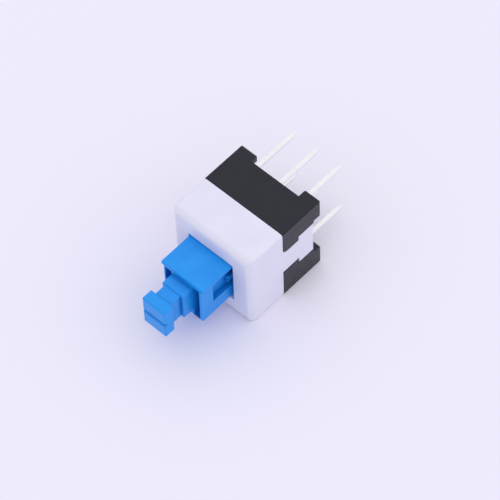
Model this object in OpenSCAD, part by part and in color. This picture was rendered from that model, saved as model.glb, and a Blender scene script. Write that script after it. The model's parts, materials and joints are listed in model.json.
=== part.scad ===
// Latching push button switch with two changeover poles, for a printed circuit board.
// The switch lies on one side. -Y runs out along the button, +Y out along the terminals, +Z is up
// and +X is to the right. The origin is the middle of the plane that seats on the board.
// The button is drawn released; pressing it moves the slider along +Y.

/* [Body] */
// Side of the square body
body_side = 8.5; // [8.4:0.1:9.5]
// Depth of the front housing, up to the parting line
housing_depth = 4; // [3.9:0.1:5]
// Depth of the base, from the parting line to its back face
base_depth = 3.7; // [3.6:0.1:4.5]
// Side walls of the housing, its snap tongues and the base
wall = 0.8; // [0.7:0.05:0.85]
// Front wall of the housing, around the button
front_wall = 1; // [0.8:0.1:1.1]
// Floor of the base, which holds the terminals
floor_depth = 1.2; // [1:0.1:1.3]
// Rounding of the housing's front edges
front_round = 0.7; // [0.2:0.1:0.8]
// Rounding of the housing's four long edges
edge_round = 0.25; // [0.1:0.05:0.4]
// Rounding of the base's four long edges
base_round = 0.1; // [0.05:0.05:0.3]

/* [Feet] */
// Height of the feet that hold the body off the board
foot_height = 0.8; // [0.5:0.1:1.2]
// Width of each foot
foot_width = 1.65; // [1.2:0.05:1.65]
// Extent of a short foot along the body's side
short_foot = 1.95; // [1.5:0.05:2.1]
// Extent of a tall foot along the body's side
tall_foot = 2.2; // [2:0.05:2.5]
// Rounding of a tall foot's corners, seen from the side
foot_round = 0.35; // [0.1:0.05:0.45]
// Rounding of a short foot's corners, seen from the side
short_foot_round = 0.1; // [0.05:0.05:0.3]
// Rounding of every foot's corners, seen from above
foot_corner = 0.15; // [0.05:0.05:0.3]

/* [Snap tongues] */
// Height of a tongue's neck, between the base's two teeth
neck_height = 2.5; // [2:0.1:2.8]
// How far the neck's middle lies above the body's axis, on the right side
neck_offset = 0.25; // [0:0.05:0.3]
// Height of a tongue's head, behind the teeth
tongue_height = 3.6; // [3.4:0.1:4]
// How far the head's middle lies above the body's axis, on the right side
tongue_offset = 0.2; // [0.1:0.05:0.3]
// Length of the teeth, from the parting line to the tongue's shoulders
tooth_length = 1.9; // [1.6:0.05:2.1]
// Fillet at the root of the neck
neck_fillet = 0.55; // [0.3:0.05:0.7]
// Gap all round a tongue, and from its end to the base's back face
tongue_gap = 0.05; // [0.02:0.01:0.1]

/* [Button block] */
// Full travel of the button
travel = 2.5; // [2:0.1:2.6]
// Travel at which the latch holds the button
latch_travel = 1.6; // [1.4:0.1:1.7]
// How far the block stands out of the housing when released
block_reach = 3.35; // [3:0.05:4]
// Width of the block's top plate
plate_width = 4.6; // [4.5:0.1:4.8]
// Thickness of the top plate
plate_thick = 0.4; // [0.3:0.05:0.45]
// How far the top plate stands over the block's sides
plate_lip = 0.25; // [0.1:0.05:0.3]
// Gap between the block's top and underside and the rows of blades
block_gap = 0.4; // [0.3:0.025:0.45]
// Rounding of the block's lower front edge
block_round = 0.4; // [0.1:0.05:0.45]
// Gap between the block and the edges of its opening
guide_gap = 0.1; // [0.06:0.02:0.12]
// Length of the block in front of its side pockets
post_length = 1.4; // [1:0.1:1.6]
// Depth of the side pockets
pocket_depth = 0.45; // [0.4:0.05:0.5]
// Height of the bar below the side pockets
bar_height = 1.6; // [1.4:0.05:1.7]
// Width of the pockets beside the stem in the block's front
front_pocket = 0.7; // [0.4:0.05:0.7]
// Depth of the pockets beside the stem
front_pocket_depth = 1; // [0.5:0.1:1.2]

/* [Button stem] */
// Height of the stem's middle above the body's axis
stem_offset = 0.15; // [0:0.05:0.2]
// Width of the collar next to the block
collar_width = 2.3; // [2.1:0.1:2.4]
// Height of the collar
collar_height = 2.95; // [2.8:0.05:3.2]
// Length of the collar
collar_length = 1.1; // [0.8:0.05:1.5]
// Width of the neck that a cap snaps round
stem_neck_width = 1.65; // [1.3:0.05:1.8]
// Height of the neck
stem_neck_height = 2.75; // [2.3:0.05:2.8]
// Length of the neck
stem_neck_length = 1.15; // [0.8:0.05:1.5]
// Width of the head
head_width = 2.5; // [2.3:0.05:2.6]
// Height of the head
head_height = 3.35; // [3.1:0.05:3.6]
// Length of the head
head_length = 1.1; // [0.8:0.05:1.3]
// Rounding of the head's edges
head_round = 0.2; // [0.1:0.05:0.3]
// Width of the groove across the head's front
groove_width = 0.5; // [0.3:0.05:0.7]
// Depth of that groove
groove_depth = 0.3; // [0.1:0.05:0.4]

/* [Return spring] */
// Wire of the spring
spring_wire = 0.25; // [0.2:0.01:0.28]
// Mean diameter of the coil
spring_coil = 2.1; // [2:0.05:2.15]
// Turns, the two closed end turns included
spring_turns = 9; // [7:1:10]
// How far the spring's bore reaches past the middle of the body
bore_depth = 3.65; // [3:0.05:3.8]

/* [Latch pin] */
// Wire of the latch pin
pin_wire = 0.35; // [0.3:0.01:0.38]
// Gap between the pin's front end and the housing's front wall
pin_end_gap = 0.33; // [0.25:0.01:0.5]
// Sideways swing of the tip over the whole travel
pin_swing = 0.54; // [0.5:0.01:0.6]
// Radial clearance of the pin in its pivot hole
pivot_gap = 0.05; // [0.02:0.01:0.08]
// Half of the heart's width
heart_half = 0.38; // [0.3:0.01:0.38]

/* [Contacts] */
// Pitch of the terminals in a row
pitch = 2.5; // [2.4:0.02:2.54]
// Distance from a row of terminals to the body's side
row_inset = 1.4; // [1.35:0.05:1.5]
// Width of a terminal outside the base
leg_width = 0.4; // [0.3:0.05:0.6]
// Thickness of the terminals
leg_thick = 0.25; // [0.2:0.05:0.3]
// Length of the terminals past the feet
leg_length = 4.4; // [3:0.1:5]
// Width of a terminal's blade inside the body
blade_width = 0.9; // [0.7:0.05:1]
// Thickness of the moving contacts
strip_thick = 0.12; // [0.1:0.01:0.15]
// Gap between a moving contact's fingers and the blades
contact_gap = 0.03; // [0.02:0.01:0.05]

/* [Hidden] */
$fn = 32;
// cuts run this far past the faces that they open
past = 0.1;

// stations along the body, from the board to the button
back_y = -foot_height;
parting_y = back_y - base_depth;
front_y = parting_y - housing_depth;
cavity_y = front_y + front_wall;
floor_y = back_y - floor_depth;
half = body_side / 2;
inner = half - wall;

// snap tongues, as on the right side
neck_low = neck_offset - neck_height / 2;
neck_high = neck_offset + neck_height / 2;
tongue_low = tongue_offset - tongue_height / 2;
shoulder_y = parting_y + tooth_length;
tongue_end_y = back_y - 2 * tongue_gap;

// rows of terminals, and the plane that the moving contacts' fingers nearly touch
row_z = half - row_inset;
contact_z = row_z - leg_thick / 2;

// slider: the block, then the carrier of the moving contacts, then the spring's tube
stop_gap = 0.05;
slider_end_y = floor_y - travel - stop_gap;
block_y = front_y - block_reach;
block_half = plate_width / 2 - plate_lip;
block_high = contact_z - block_gap;
lug_front_y = cavity_y + stop_gap;
lug_length = 0.75;
lug_back_y = lug_front_y + lug_length;
lug_half = 0.5;
lug_lap = 0.3;
lug_z = contact_z + leg_thick + lug_lap;
carrier_length = 0.85;
carrier_y = lug_back_y + carrier_length;
carrier_drop = 0.625;
carrier_z = contact_z - carrier_drop;
tube_step = 0.2;
tube_half = block_half - tube_step;
tube_drop = 0.15;
tube_z = carrier_z - tube_drop;
soft = 0.12;

// moving contacts, riveted by two pegs each to the carrier's wings
strip_lead = 0.1;
strip_front_y = lug_back_y + strip_lead;
strip_tail = 0.05;
strip_back_y = carrier_y - strip_tail;
wing_thick = 0.25;
wing_inset = 0.05;
wing_half = pitch + blade_width / 2 - wing_inset;
peg_radius = 0.22;
peg_gap = 0.02;
peg_x = pitch / 2;
peg_y = (strip_front_y + strip_back_y) / 2;
finger_width = 0.7;
finger_stop = 0.15;
finger_end_y = slider_end_y - finger_stop;
finger_tip = 0.3;
finger_y = finger_end_y - finger_tip;
finger_drop = 0.12;
finger_rise = carrier_drop - contact_gap - strip_thick;

// blades: the common one reaches furthest, and the makes-when-pressed one stops short of the fingers
slot_gap = 0.01;
blade_lap = 1;
blade_reach_y = finger_y - blade_lap;
make_gap = 0.3;
make_reach_y = finger_end_y + make_gap;
joggle_gap = 0.1;
joggle_start_y = finger_end_y + joggle_gap;
joggle_length = 0.4;
joggle_end_y = joggle_start_y + joggle_length;
joggle = 0.3;
leg_tip = 0.4;
leg_taper = 0.12;

// spring, in a bore that is wider by the coil gap, over a spigot that is thinner by it
coil_gap = 0.125;
bore_radius = (spring_coil + spring_wire) / 2 + coil_gap;
spigot_radius = (spring_coil - spring_wire) / 2 - coil_gap;
spigot_length = 1.2;
spring_gap = 0.02;
bore_end_y = parting_y - bore_depth;
spring_start_y = bore_end_y + spring_gap + spring_wire / 2;
spring_stop_y = floor_y - spring_gap - spring_wire / 2;
spring_sides = 8;
spring_steps = 24;

// side pockets and the heart in the right one, which catches the pin's tip from above
pocket_front_y = block_y + post_length;
pocket_low = -block_high + bar_height;
pocket_high = block_high - plate_thick;
pocket_floor_x = block_half - pocket_depth;
pocket_sill = 0.3;
front_pocket_low = -block_high + pocket_sill;
heart_drop = 0.3;
heart_z = (pocket_low + pocket_high) / 2 - heart_drop;

// latch pin: a wire staple that pivots in a boss on the floor; its tip rests above the heart's point
pin_radius = pin_wire / 2;
pin_bend = pin_wire;
tip_y = cavity_y + pin_end_gap + pin_radius;
tip_rise = 0.3;
tip_z = heart_z + tip_rise;
tip_gap = 0.08;
pin_tip_x = pocket_floor_x + tip_gap;
pivot_stand = 0.6;
pivot_y = floor_y - pivot_stand;
pivot_z = tip_z + pin_swing / 2;
pin_reach = pivot_y - tip_y;
pin_length = norm([pin_reach, pin_swing / 2]);
pin_lift = atan2(pin_swing / 2, pin_reach);
boss_gap = 0.05;
boss_x = block_half + boss_gap;
boss_thick = 0.5;
boss_half = 0.55;
boss_y = pivot_y - boss_half;
leg_gap = 0.045;
pin_x = boss_x + boss_thick + leg_gap + pin_radius;
pin_inset = 0.02;
rib_gap = 0.055;
rib_x = pin_x + pin_radius + rib_gap;
rib_margin = 0.1;
rib_half = pin_swing / 2 + pin_radius + rib_margin;
rib_lead = 0.2;
rib_front_y = cavity_y + rib_lead;
rib_back_y = boss_y - rib_gap;

// the heart's outline, and the pocket's back end behind the tip
pocket_margin = 0.25;
pocket_back_y = tip_y + pin_radius + pocket_margin;
heart_gap = 0.05;
heart_x = block_half - heart_gap;
heart_lead = 0.55;
heart_point_y = tip_y - heart_lead;
catch_y = tip_y - latch_travel + pin_radius;
heart_shoulder = 0.2;
heart_wide_y = catch_y - heart_shoulder;
heart_lobe = 0.13;
heart_lobe_y = heart_wide_y - heart_lobe;
lobe_half = heart_half * 0.65;

// A rectangle with rounded corners.
module rounded_rect(low, high, r) {
    translate([low.x + r, low.y]) square([high.x - low.x - 2 * r, high.y - low.y]);
    translate([low.x, low.y + r]) square([high.x - low.x, high.y - low.y - 2 * r]);
    for (x = [low.x + r, high.x - r], y = [low.y + r, high.y - r]) {
        translate([x, y]) circle(r);
    }
}

// Extrudes a flat shape along X, from low to high; the shape's axes become Y and Z.
module along_x(low, high) {
    translate([low, 0, 0]) rotate([90, 0, 90]) linear_extrude(high - low) children();
}

// Extrudes a flat shape along Y, from low to high; the shape's axes become X and Z.
module along_y(low, high) {
    translate([0, high, 0]) rotate([90, 0, 0]) linear_extrude(high - low) children();
}

// A plain box between two opposite corners.
module box(low, high) {
    translate(low) cube(high - low);
}

// A box whose edges are all rounded.
module soft_box(low, high, r) {
    intersection() {
        along_x(low.x, high.x) rounded_rect([low.y, low.z], [high.y, high.z], r);
        along_y(low.y, high.y) rounded_rect([low.x, low.z], [high.x, high.z], r);
        translate([0, 0, low.z]) linear_extrude(high.z - low.z)
            rounded_rect([low.x, low.y], [high.x, high.y], r);
    }
}

// Repeats a shape of the right side on the left side, turned half round the body's axis.
module both_sides() {
    children();
    rotate([0, 180, 0]) children();
}

// The side outline of a snap tongue, grown by a gap; it ends at end_y.
module tongue_outline(gap, end_y) {
    start_y = parting_y - past;
    translate([start_y, neck_low - gap]) square([shoulder_y - start_y, neck_height + 2 * gap]);
    translate([shoulder_y - gap, tongue_low - gap])
        square([end_y - shoulder_y + gap, tongue_height + 2 * gap]);
    difference() {
        translate([parting_y, neck_high]) square(neck_fillet + gap);
        translate([parting_y + neck_fillet + gap, neck_high + neck_fillet + gap])
            circle(neck_fillet);
    }
}

// Outer form of the front housing, with its front edges rounded.
module housing_block() {
    run_out = parting_y + front_round;
    intersection() {
        along_y(front_y, parting_y) rounded_rect([-half, -half], [half, half], edge_round);
        along_x(-half, half) rounded_rect([front_y, -half], [run_out, half], front_round);
        translate([0, 0, -half]) linear_extrude(body_side)
            rounded_rect([-half, front_y], [half, run_out], front_round);
    }
}

// White front housing: a cup with the button's opening and two snap tongues.
module housing() {
    opening_half = plate_width / 2 + guide_gap;
    color("white") difference() {
        union() {
            difference() {
                housing_block();
                box([-inner, cavity_y, -inner], [inner, parting_y + past, inner]);
            }
            both_sides() along_x(inner, half) tongue_outline(0, tongue_end_y);
            box([rib_x, rib_front_y, pivot_z - rib_half],
                [inner + past, rib_back_y, pivot_z + rib_half]);
        }
        box([-opening_half, front_y - past, -block_high - guide_gap],
            [opening_half, cavity_y + past, block_high + guide_gap]);
    }
}

// A foot of the right side, from low_z to high_z: an angle that carries on the walls round the
// body's corner. Its free corners are rounded by r.
module foot(low_z, high_z, r) {
    foot_x = half - foot_width;
    root_y = back_y - tongue_gap;
    difference() {
        intersection() {
            along_y(root_y, 0) rounded_rect([-half, -half], [half, half], base_round);
            along_x(foot_x, half) rounded_rect([root_y - r, low_z], [0, high_z], r);
            translate([0, 0, low_z]) linear_extrude(high_z - low_z)
                rounded_rect([foot_x, root_y - foot_corner], [half, 0], foot_corner);
        }
        box([foot_x - past, root_y - past, -inner], [inner, past, inner]);
    }
}

// Black base: a shallow tray with the tongues' windows, the feet, and slots for the terminals.
module base() {
    color("dimgray") difference() {
        union() {
            difference() {
                along_y(parting_y, back_y) rounded_rect([-half, -half], [half, half], base_round);
                box([-inner, parting_y - past, -inner], [inner, floor_y, inner]);
                both_sides() along_x(inner - tongue_gap, half + past)
                    tongue_outline(tongue_gap, back_y + past);
            }
            both_sides() {
                foot(half - short_foot, half, short_foot_round);
                foot(-half, tall_foot - half, foot_round);
            }
            translate([0, floor_y + past, 0]) rotate([90, 0, 0])
                cylinder(r = spigot_radius, h = spigot_length + past);
            box([boss_x, boss_y, pivot_z - boss_half],
                [boss_x + boss_thick, floor_y + past, pivot_z + boss_half]);
        }
        translate([boss_x - past, pivot_y, pivot_z]) rotate([0, 90, 0])
            cylinder(r = pin_radius + pivot_gap, h = boss_thick + 2 * past);
        for (column = [-1, 0, 1], row = [-1, 1]) {
            translate([column * pitch, 0, row * row_z])
                box([-leg_width / 2 - slot_gap, floor_y - past, -leg_thick / 2 - slot_gap],
                    [leg_width / 2 + slot_gap, past, leg_thick / 2 + slot_gap]);
        }
    }
}

// The stem in front of the block: collar, neck and grooved head.
module stem() {
    neck_front_y = block_y - collar_length - stem_neck_length;
    translate([0, 0, stem_offset]) {
        soft_box([-collar_width / 2, block_y - collar_length, -collar_height / 2],
            [collar_width / 2, block_y + front_pocket_depth + soft, collar_height / 2], soft);
        box([-stem_neck_width / 2, neck_front_y - past, -stem_neck_height / 2],
            [stem_neck_width / 2, block_y - collar_length + past, stem_neck_height / 2]);
        difference() {
            soft_box([-head_width / 2, neck_front_y - head_length, -head_height / 2],
                [head_width / 2, neck_front_y, head_height / 2], head_round);
            along_x(-head_width / 2 - past, head_width / 2 + past)
                translate([neck_front_y - head_length, 0]) polygon([
                    [-past, groove_width], [-past, -groove_width],
                    [0, -groove_width / 2], [groove_depth, 0], [0, groove_width / 2]
                ]);
        }
    }
}

// Recess in the block's right side; the latch pin's tip travels in it, round the heart.
module side_pocket() {
    box([pocket_floor_x, pocket_front_y, pocket_low], [half, pocket_back_y, pocket_high]);
}

// Heart whose notch holds the pin's tip while the button is latched.
module heart() {
    along_x(pocket_floor_x - past, heart_x) translate([0, heart_z]) polygon([
        [heart_point_y, 0], [heart_wide_y, -heart_half], [heart_lobe_y, -lobe_half],
        [catch_y, 0], [heart_lobe_y, lobe_half], [heart_wide_y, heart_half]
    ]);
}

// Blue plunger: stem, block, lugs that stop it in the housing, contact carrier and spring tube.
module plunger() {
    color("dodgerblue") difference() {
        union() {
            stem();
            difference() {
                union() {
                    soft_box([-plate_width / 2, block_y, pocket_high],
                        [plate_width / 2, lug_back_y, block_high], soft);
                    intersection() {
                        soft_box([-block_half, block_y, -block_high],
                            [block_half, lug_back_y, block_high - soft], soft);
                        along_x(-block_half, block_half)
                            rounded_rect([block_y, -block_high],
                                [lug_back_y + block_round, block_high], block_round);
                    }
                    box([-block_half, lug_front_y, -carrier_z], [block_half, carrier_y, carrier_z]);
                }
                side_pocket();
                mirror([1, 0, 0]) side_pocket();
                for (side = [-1, 1]) {
                    translate([side * (collar_width + front_pocket) / 2, 0, 0])
                        box([-front_pocket / 2, block_y - past, front_pocket_low],
                            [front_pocket / 2, block_y + front_pocket_depth, pocket_high]);
                }
            }
            heart();
            box([-tube_half, carrier_y - past, -tube_z], [tube_half, slider_end_y, tube_z]);
            for (row = [0, 1], side = [-1, 1]) mirror([0, 0, row]) {
                translate([side * peg_x, 0, 0]) {
                    box([-lug_half, lug_front_y, carrier_z - past], [lug_half, lug_back_y, lug_z]);
                    translate([0, peg_y, carrier_z - past])
                        cylinder(r = peg_radius, h = 2 * past + strip_thick);
                }
            }
            for (row = [0, 1]) mirror([0, 0, row]) {
                box([-wing_half, strip_front_y, carrier_z - wing_thick],
                    [wing_half, carrier_y, carrier_z]);
            }
        }
        translate([0, slider_end_y + past, 0]) rotate([90, 0, 0])
            cylinder(r = bore_radius, h = slider_end_y + past - bore_end_y);
    }
}

// Place along the coil at a given turn: the two end turns lie closed, the others share the rest.
function coil_y(turn) =
    let (
        closed = spring_wire * 1.05,
        open_pitch = (spring_stop_y - spring_start_y - 2 * closed) / (spring_turns - 2)
    )
    turn < 1 ? spring_start_y + closed * turn
    : turn > spring_turns - 1 ? spring_stop_y - closed * (spring_turns - turn)
    : spring_start_y + closed + open_pitch * (turn - 1);

// Return spring: a wire of eight sides swept round the coil.
module return_spring() {
    rings = spring_turns * spring_steps;
    points = [
        for (i = [0 : rings], j = [0 : spring_sides - 1])
            let (
                around = 360 * i / spring_steps,
                side = 360 * j / spring_sides,
                reach = spring_coil / 2 + spring_wire / 2 * cos(side)
            )
            [reach * cos(around), coil_y(i / spring_steps) + spring_wire / 2 * sin(side),
                reach * sin(around)]
    ];
    skin = [
        for (i = [0 : rings - 1], j = [0 : spring_sides - 1])
            let (a = i * spring_sides + j, b = i * spring_sides + (j + 1) % spring_sides)
            [a, a + spring_sides, b + spring_sides, b]
    ];
    first = [for (j = [0 : spring_sides - 1]) j];
    last = [for (j = [spring_sides - 1 : -1 : 0]) rings * spring_sides + j];
    color("lightsteelblue") polyhedron(points, concat(skin, [first, last]), convexity = 10);
}

// Half of the latch pin: from the middle of its long leg, at the origin's height, round a bend
// and inwards to low_x.
module half_pin(low_x) {
    run = pin_length / 2 - pin_bend;
    translate([pin_x - pin_bend, run, 0]) {
        rotate_extrude(angle = 90) translate([pin_bend, 0]) circle(pin_radius);
        translate([pin_bend, 0, 0]) rotate([90, 0, 0]) cylinder(r = pin_radius, h = run);
        rotate([0, 0, 90]) translate([pin_bend, 0, 0]) rotate([-90, 0, 0])
            cylinder(r = pin_radius, h = pin_x - pin_bend - low_x);
    }
}

// Latch pin: a staple whose long leg lies beside the slider, with both ends turned inwards.
module latch_pin() {
    color("silver") translate([0, pivot_y, pivot_z]) rotate([pin_lift, 0, 0])
        translate([0, -pin_length / 2, 0]) {
            half_pin(boss_x + pin_inset);
            mirror([0, 1, 0]) half_pin(pin_tip_x);
        }
}

// Moving contact: a strip on the slider whose three fingers bridge the blades of one row.
module moving_contact() {
    along_rise = [
        [strip_front_y, 0], [strip_back_y, 0], [finger_y, finger_rise],
        [finger_end_y, finger_rise - finger_drop]
    ];
    color("gainsboro") translate([0, 0, carrier_z]) difference() {
        union() {
            box([-wing_half, strip_front_y, 0], [wing_half, strip_back_y, strip_thick]);
            for (column = [-1, 0, 1]) {
                along_x(column * pitch - finger_width / 2, column * pitch + finger_width / 2)
                    polygon(concat(along_rise,
                        [for (i = [3 : -1 : 0]) along_rise[i] + [0, strip_thick]]));
            }
        }
        for (side = [-1, 1]) {
            translate([side * peg_x, peg_y, -past])
                cylinder(r = peg_radius + peg_gap, h = strip_thick + 2 * past);
        }
    }
}

module contact_upper() {
    moving_contact();
}

module contact_lower() {
    mirror([0, 0, 1]) moving_contact();
}

// The leg of a terminal, through the floor and out to its tapered tip.
module leg() {
    translate([0, 0, -leg_thick / 2]) linear_extrude(leg_thick) polygon([
        [-leg_width / 2, floor_y - past], [leg_width / 2, floor_y - past],
        [leg_width / 2, leg_length - leg_tip], [leg_width / 2 - leg_taper, leg_length],
        [leg_taper - leg_width / 2, leg_length], [-leg_width / 2, leg_length - leg_tip]
    ]);
}

// A straight terminal: its blade runs along the contact plane from the floor to reach_y.
module straight_terminal(column, reach_y) {
    color("whitesmoke") translate([column * pitch, 0, row_z]) {
        leg();
        box([-blade_width / 2, reach_y, -leg_thick / 2],
            [blade_width / 2, floor_y, leg_thick / 2]);
    }
}

// The terminal that is touched at rest: its back part steps out of the fingers' way.
module stepped_terminal(column) {
    low = -leg_thick / 2;
    color("whitesmoke") translate([column * pitch, 0, row_z]) {
        leg();
        along_x(-blade_width / 2, blade_width / 2) polygon([
            [blade_reach_y, low], [joggle_start_y, low], [joggle_end_y, low + joggle],
            [floor_y - leg_thick, low + joggle], [floor_y - leg_thick, low], [floor_y, low],
            [floor_y, low + joggle + leg_thick], [joggle_end_y, low + joggle + leg_thick],
            [joggle_start_y, low + leg_thick], [blade_reach_y, low + leg_thick]
        ]);
    }
}

module terminal_upper_left() {
    stepped_terminal(-1);
}

module terminal_upper_middle() {
    straight_terminal(0, blade_reach_y);
}

module terminal_upper_right() {
    straight_terminal(1, make_reach_y);
}

module terminal_lower_left() {
    mirror([0, 0, 1]) stepped_terminal(-1);
}

module terminal_lower_middle() {
    mirror([0, 0, 1]) straight_terminal(0, blade_reach_y);
}

module terminal_lower_right() {
    mirror([0, 0, 1]) straight_terminal(1, make_reach_y);
}

housing();
base();
plunger();
return_spring();
latch_pin();
contact_upper();
contact_lower();
terminal_upper_left();
terminal_upper_middle();
terminal_upper_right();
terminal_lower_left();
terminal_lower_middle();
terminal_lower_right();
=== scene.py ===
"""Latching push button switch, lying on its side on a pale table.

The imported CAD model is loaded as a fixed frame. This script gives its solids their materials,
breaks the sharp edges of the two body mouldings, and puts a rounder coil in place of the return
spring. Lengths are in metres unless a name ends in _mm or _MM, and angles are in degrees.
"""
import json
import math

import bmesh
import bpy
from mathutils import Matrix, Vector

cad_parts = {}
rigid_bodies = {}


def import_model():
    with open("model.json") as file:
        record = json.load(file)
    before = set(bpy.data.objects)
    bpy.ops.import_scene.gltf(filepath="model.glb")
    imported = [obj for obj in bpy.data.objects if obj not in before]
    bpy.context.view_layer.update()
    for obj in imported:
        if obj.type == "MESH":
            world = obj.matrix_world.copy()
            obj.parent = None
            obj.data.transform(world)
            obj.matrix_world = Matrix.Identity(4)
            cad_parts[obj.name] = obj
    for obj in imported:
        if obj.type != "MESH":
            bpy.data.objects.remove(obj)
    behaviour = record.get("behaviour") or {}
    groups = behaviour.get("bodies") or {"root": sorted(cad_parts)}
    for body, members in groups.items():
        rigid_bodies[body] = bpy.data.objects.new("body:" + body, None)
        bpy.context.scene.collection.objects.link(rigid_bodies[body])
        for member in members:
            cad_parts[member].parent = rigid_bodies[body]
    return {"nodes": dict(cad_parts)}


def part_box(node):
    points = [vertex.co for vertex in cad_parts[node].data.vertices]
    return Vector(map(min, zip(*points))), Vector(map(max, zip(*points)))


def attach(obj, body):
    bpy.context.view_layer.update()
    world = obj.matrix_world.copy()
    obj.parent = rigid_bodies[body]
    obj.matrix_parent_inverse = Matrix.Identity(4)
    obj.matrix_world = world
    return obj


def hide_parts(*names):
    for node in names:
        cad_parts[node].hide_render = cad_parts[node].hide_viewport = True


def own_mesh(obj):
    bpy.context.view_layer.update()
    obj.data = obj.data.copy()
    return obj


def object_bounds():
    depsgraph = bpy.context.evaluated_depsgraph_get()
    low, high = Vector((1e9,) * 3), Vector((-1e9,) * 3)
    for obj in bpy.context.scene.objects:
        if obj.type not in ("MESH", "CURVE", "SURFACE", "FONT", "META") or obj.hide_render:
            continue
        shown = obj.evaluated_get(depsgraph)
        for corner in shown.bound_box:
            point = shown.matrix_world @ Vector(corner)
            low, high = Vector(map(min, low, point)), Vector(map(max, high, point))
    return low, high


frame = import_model()
cad_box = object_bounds()

scene = bpy.context.scene
scene.view_settings.view_transform = "Standard"
objects = bpy.data.objects
MM = 0.001

# ---------------------------------------------------------------- camera and lights
# The camera looks at VIEW_MIDDLE from VIEW_DISTANCE away, and is then moved sideways by
# VIEW_RIGHT and VIEW_UP, which centre the part as in the photograph.
VIEW_AZIMUTH = 44.64
VIEW_ELEVATION = 55.85
VIEW_ROLL = -2.34
VIEW_DISTANCE = 265.6 * MM
VIEW_MIDDLE = Vector((0, -4.5 * MM, 0))
VIEW_RIGHT = 0.42 * MM
VIEW_UP = -1.11 * MM
LENS = 235.4  # focal length in millimetres
CLIP_NEAR = 0.01
CLIP_FAR = 20

# The sky lights the part with SKY_LIGHT. It is seen, and mirrored, with SKY_SEEN.
SKY_COLOR = (0.97, 0.97, 1.0, 1)
SKY_LIGHT = 0.78
SKY_SEEN = 0.66
SUN_STRENGTH = 0.8
SUN_FROM = Vector((0.15, 0.30, 0.94))
SUN_ANGLE = 120

FLOOR_Z = cad_box[0][2]
FLOOR_SIZE = 10.0
FLOOR_COLOR = (0.865, 0.84, 0.96)


def make_camera():
    """Camera at the photograph's angle."""
    azimuth, elevation = math.radians(VIEW_AZIMUTH), math.radians(VIEW_ELEVATION)
    back = Vector((math.sin(azimuth) * math.cos(elevation),
                   -math.cos(azimuth) * math.cos(elevation), math.sin(elevation)))
    level = Vector((math.cos(azimuth), math.sin(azimuth), 0))
    roll = Matrix.Rotation(math.radians(VIEW_ROLL), 3, back)
    right = roll @ level
    up = back.cross(right)
    data = bpy.data.cameras.new("camera")
    data.lens = LENS
    data.clip_start = CLIP_NEAR
    data.clip_end = CLIP_FAR
    camera = objects.new("camera", data)
    scene.collection.objects.link(camera)
    place = VIEW_MIDDLE + right * VIEW_RIGHT + up * VIEW_UP + back * VIEW_DISTANCE
    turn = Matrix((right, up, back)).transposed().to_4x4()
    camera.matrix_world = Matrix.Translation(place) @ turn
    scene.camera = camera


def background(nodes, strength):
    """Output of a background of the sky's colour."""
    shader = nodes.new("ShaderNodeBackground")
    shader.inputs["Color"].default_value = SKY_COLOR
    shader.inputs["Strength"].default_value = strength
    return shader.outputs[0]


def make_sky():
    """Even pale light from all round, dimmer where a camera or a mirrored ray sees it."""
    world = bpy.data.worlds.new("sky")
    world.use_nodes = True
    nodes, links = world.node_tree.nodes, world.node_tree.links
    nodes.clear()
    path = nodes.new("ShaderNodeLightPath")
    seen = nodes.new("ShaderNodeMath")
    seen.operation = "MAXIMUM"
    links.new(path.outputs["Is Camera Ray"], seen.inputs[0])
    links.new(path.outputs["Is Glossy Ray"], seen.inputs[1])
    either = nodes.new("ShaderNodeMath")
    either.operation = "MAXIMUM"
    links.new(seen.outputs[0], either.inputs[0])
    links.new(path.outputs["Is Transmission Ray"], either.inputs[1])
    mix = nodes.new("ShaderNodeMixShader")
    links.new(either.outputs[0], mix.inputs["Fac"])
    links.new(background(nodes, SKY_LIGHT), mix.inputs[1])
    links.new(background(nodes, SKY_SEEN), mix.inputs[2])
    links.new(mix.outputs[0], nodes.new("ShaderNodeOutputWorld").inputs["Surface"])
    scene.world = world


def make_sun():
    """One very wide, soft light from above."""
    data = bpy.data.lights.new("softbox", "SUN")
    data.energy = SUN_STRENGTH
    data.angle = math.radians(SUN_ANGLE)
    sun = objects.new("softbox", data)
    sun.rotation_euler = SUN_FROM.to_track_quat("Z", "Y").to_euler()
    scene.collection.objects.link(sun)


# ---------------------------------------------------------------- materials
# The noise keeps mostly between these two values, which are spread over the whole range.
NOISE_LOW = 0.3
NOISE_HIGH = 0.7


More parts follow.
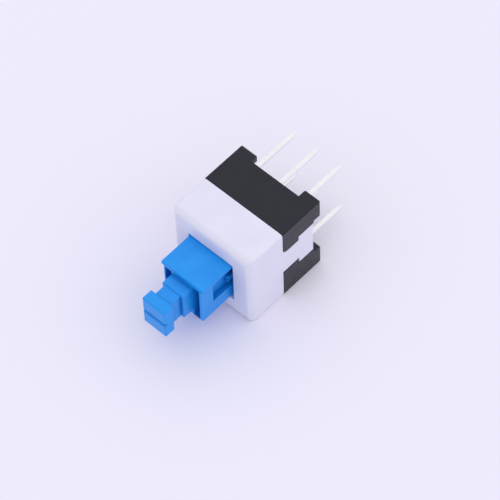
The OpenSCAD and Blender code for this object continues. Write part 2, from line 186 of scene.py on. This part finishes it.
class Finish:
    """A material whose colour, roughness and relief come from noise in the object's own space;
    its colour may also carry painted shade in hollows.
    """

    def __init__(self, name, metallic=0.0, **sockets):
        self.name = name
        self.material = bpy.data.materials.new(name)
        self.material.use_nodes = True
        self.nodes = self.material.node_tree.nodes
        self.links = self.material.node_tree.links
        self.shader = self.nodes["Principled BSDF"]
        self.shader.inputs["Metallic"].default_value = metallic
        for socket, value in sockets.items():
            self.shader.inputs[socket.replace("_", " ")].default_value = value
        self.place = self.nodes.new("ShaderNodeTexCoord").outputs["Object"]

    def noise(self, grain_mm, detail=3.0, stretch=None):
        """Noise with grains of this size; stretch multiplies its frequency along x, y and z."""
        place = self.place
        if stretch:
            mapping = self.nodes.new("ShaderNodeMapping")
            mapping.inputs["Scale"].default_value = stretch
            self.links.new(place, mapping.inputs["Vector"])
            place = mapping.outputs["Vector"]
        noise = self.nodes.new("ShaderNodeTexNoise")
        noise.inputs["Scale"].default_value = 1 / (grain_mm * MM)
        noise.inputs["Detail"].default_value = detail
        self.links.new(place, noise.inputs["Vector"])
        return noise.outputs["Fac"]

    def color(self, source, low, high, painted_shade_mm=0.0, painted_shade_share=0.0):
        """Colour from low to high, with painted shade in hollows of the given reach and share."""
        ramp = self.nodes.new("ShaderNodeValToRGB")
        first, last = ramp.color_ramp.elements
        first.position, last.position = NOISE_LOW, NOISE_HIGH
        first.color, last.color = (*low, 1), (*high, 1)
        self.links.new(source, ramp.inputs["Fac"])
        color = ramp.outputs["Color"]
        if painted_shade_share:
            # Painted shade: the colour darkens where the part's own surfaces close round a point
            # (ambient occlusion).
            painted_shade = self.nodes.new("ShaderNodeAmbientOcclusion")
            painted_shade.only_local = True
            painted_shade.inputs["Distance"].default_value = painted_shade_mm * MM
            self.links.new(color, painted_shade.inputs["Color"])
            mix = self.nodes.new("ShaderNodeMix")
            mix.data_type = "RGBA"
            mix.inputs["Factor"].default_value = painted_shade_share
            self.links.new(color, mix.inputs["A"])
            self.links.new(painted_shade.outputs["Color"], mix.inputs["B"])
            color = mix.outputs["Result"]
        self.links.new(color, self.shader.inputs["Base Color"])

    def roughness(self, source, low, high):
        """Roughness between low and high."""
        span = self.nodes.new("ShaderNodeMapRange")
        span.inputs["From Min"].default_value = NOISE_LOW
        span.inputs["From Max"].default_value = NOISE_HIGH
        span.inputs["To Min"].default_value = low
        span.inputs["To Max"].default_value = high
        self.links.new(source, span.inputs["Value"])
        self.links.new(span.outputs["Result"], self.shader.inputs["Roughness"])

    def relief(self, source, strength, depth_mm):
        """Fine unevenness of the surface."""
        bump = self.nodes.new("ShaderNodeBump")
        bump.inputs["Strength"].default_value = strength
        bump.inputs["Distance"].default_value = depth_mm * MM
        self.links.new(source, bump.inputs["Height"])
        self.links.new(bump.outputs["Normal"], self.shader.inputs["Normal"])


def make_materials():
    """The part's finishes, named as the record's material slots, and the table's."""
    housing = Finish("housing_plastic", IOR=1.5,
                     Subsurface_Weight=0.1, Subsurface_Scale=0.3 * MM)
    housing.color(housing.noise(2.0), (0.755, 0.75, 0.895), (0.785, 0.78, 0.925))
    housing.roughness(housing.noise(0.25), 0.34, 0.46)
    housing.relief(housing.noise(0.06, detail=4), strength=0.25, depth_mm=0.01)

    base = Finish("base_plastic", IOR=1.45, Sheen_Weight=0.06, Sheen_Roughness=0.4)
    base.color(base.noise(0.5), (0.003, 0.003, 0.012), (0.005, 0.005, 0.016))
    base.roughness(base.noise(0.2), 0.36, 0.52)
    base.relief(base.noise(0.05, detail=4), strength=0.35, depth_mm=0.01)

    button = Finish("button_plastic", IOR=1.4)
    # The button's colour carries painted shade: it darkens by half in hollows within 0.8 mm.
    button.color(button.noise(1.5), (0.006, 0.28, 0.85), (0.010, 0.32, 0.89),
                 painted_shade_mm=0.8, painted_shade_share=0.5)
    button.roughness(button.noise(0.2), 0.30, 0.42)
    button.relief(button.noise(0.08, detail=4), strength=0.2, depth_mm=0.01)

    terminal = Finish("terminal_metal", metallic=1.0)
    terminal.color(terminal.noise(0.4), (0.86, 0.86, 0.88), (0.93, 0.93, 0.94))
    terminal.roughness(terminal.noise(0.2, detail=2, stretch=(3, 0.5, 3)), 0.22, 0.32)
    terminal.relief(terminal.noise(0.1, detail=2, stretch=(3, 0.4, 3)),
                    strength=0.05, depth_mm=0.004)

    contact = Finish("contact_metal", metallic=1.0)
    contact.color(contact.noise(0.5), (0.78, 0.70, 0.58), (0.86, 0.80, 0.70))
    contact.roughness(contact.noise(0.15, stretch=(6, 1, 6)), 0.22, 0.36)
    contact.relief(contact.noise(0.1, detail=4, stretch=(6, 0.6, 6)),
                   strength=0.15, depth_mm=0.01)

    steel = Finish("spring_steel", metallic=1.0)
    steel.color(steel.noise(0.3), (0.50, 0.51, 0.53), (0.62, 0.63, 0.65))
    steel.roughness(steel.noise(0.1), 0.22, 0.38)
    steel.relief(steel.noise(0.05, detail=3), strength=0.2, depth_mm=0.005)

    floor = Finish("table", Specular_IOR_Level=0.0)
    floor.color(floor.noise(40, detail=2), FLOOR_COLOR, FLOOR_COLOR)
    floor.roughness(floor.noise(10), 0.8, 0.9)
    return {finish.name: finish.material
            for finish in (housing, base, button, terminal, contact, steel, floor)}


def make_floor(material):
    """Table top at the part's lowest point, so large that low views don't see its edge."""
    mesh = bpy.data.meshes.new("table")
    reach = FLOOR_SIZE / 2
    corners = ((-reach, -reach), (reach, -reach), (reach, reach), (-reach, reach))
    mesh.from_pydata([(x, y, FLOOR_Z) for x, y in corners], [], [(0, 1, 2, 3)])
    mesh.materials.append(material)
    floor = objects.new("table", mesh)
    scene.collection.objects.link(floor)


# ---------------------------------------------------------------- the CAD solids
HOUSING_BREAK_MM = 0.06
BASE_BREAK_MM = 0.05
BREAK_STEPS = 3
SAME_POINT = 1e-7  # vertices nearer than this are one
FLAT_ANGLE = 0.5  # faces that meet at less are one
SHARP_ANGLE = 40  # edges that turn by more are broken


def dress_solids(finishes):
    """Puts the finishes on the CAD solids, whose slots carry the finishes' names."""
    for node in frame["nodes"].values():
        for slot in node.material_slots:
            slot.material = finishes[slot.material.name]


def soften(node, width_mm):
    """Breaks a moulded part's sharp edges, as its mould does, once its flat faces are joined."""
    weld = node.modifiers.new("weld", "WELD")
    weld.merge_threshold = SAME_POINT
    merge = node.modifiers.new("merge", "DECIMATE")
    merge.decimate_type = "DISSOLVE"
    merge.angle_limit = math.radians(FLAT_ANGLE)
    bevel = node.modifiers.new("edges", "BEVEL")
    bevel.limit_method = "ANGLE"
    bevel.angle_limit = math.radians(SHARP_ANGLE)
    bevel.width = width_mm * MM
    bevel.segments = BREAK_STEPS
    bevel.use_clamp_overlap = False
    normals = node.modifiers.new("shading", "WEIGHTED_NORMAL")
    normals.keep_sharp = False


# ---------------------------------------------------------------- return spring
SPRING_WIRE = 0.25 * MM
SPRING_TURNS = 9
SPRING_STEPS = 36  # rings of vertices in each turn
SPRING_SIDES = 14  # vertices in each ring
SPRING_CLOSED = 1.05 * SPRING_WIRE  # rise of an end turn


def coil_place(turn, start, stop):
    """Place along the coil: the two end turns lie closed, and the others share the rest."""
    if turn < 1:
        return start + SPRING_CLOSED * turn
    if turn > SPRING_TURNS - 1:
        return stop - SPRING_CLOSED * (SPRING_TURNS - turn)
    pitch = (stop - start - 2 * SPRING_CLOSED) / (SPRING_TURNS - 2)
    return start + SPRING_CLOSED + pitch * (turn - 1)


def coil_rings(form, low, high):
    """Rings of vertices round the wire, all along the coil that fills the box low to high."""
    wire = SPRING_WIRE / 2
    start, stop = low[1] + wire, high[1] - wire
    coil = (high[0] - low[0]) / 2 - wire
    middle_x, middle_z = (low[0] + high[0]) / 2, (low[2] + high[2]) / 2
    rings = []
    for step in range(SPRING_TURNS * SPRING_STEPS + 1):
        around = math.tau * step / SPRING_STEPS
        y = coil_place(step / SPRING_STEPS, start, stop)
        ring = []
        for number in range(SPRING_SIDES):
            side = math.tau * number / SPRING_SIDES
            reach = coil + wire * math.cos(side)
            place = (middle_x + reach * math.cos(around), y + wire * math.sin(side),
                     middle_z + reach * math.sin(around))
            ring.append(form.verts.new(place))
        rings.append(ring)
    return rings


def make_spring(material):
    """Coil of round wire that fills the return spring's box, carried by the body in its place."""
    low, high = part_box("return_spring")
    form = bmesh.new()
    rings = coil_rings(form, low, high)
    for ring, following in zip(rings, rings[1:]):
        for number in range(SPRING_SIDES):
            other = (number + 1) % SPRING_SIDES
            face = form.faces.new((ring[number], following[number],
                                   following[other], ring[other]))
            face.smooth = True
    form.faces.new(rings[0])
    form.faces.new(reversed(rings[-1]))
    bmesh.ops.recalc_face_normals(form, faces=form.faces)
    mesh = bpy.data.meshes.new("spring_coil")
    form.to_mesh(mesh)
    form.free()
    mesh.materials.append(material)
    spring = objects.new("spring_coil", mesh)
    scene.collection.objects.link(spring)
    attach(spring, "body")
    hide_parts("return_spring")
    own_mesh(spring)


# ---------------------------------------------------------------- the scene
make_camera()
make_sky()
make_sun()
finishes = make_materials()
make_floor(finishes["table"])
dress_solids(finishes)
soften(frame["nodes"]["housing"], HOUSING_BREAK_MM)
soften(frame["nodes"]["base"], BASE_BREAK_MM)
make_spring(finishes["spring_steel"])
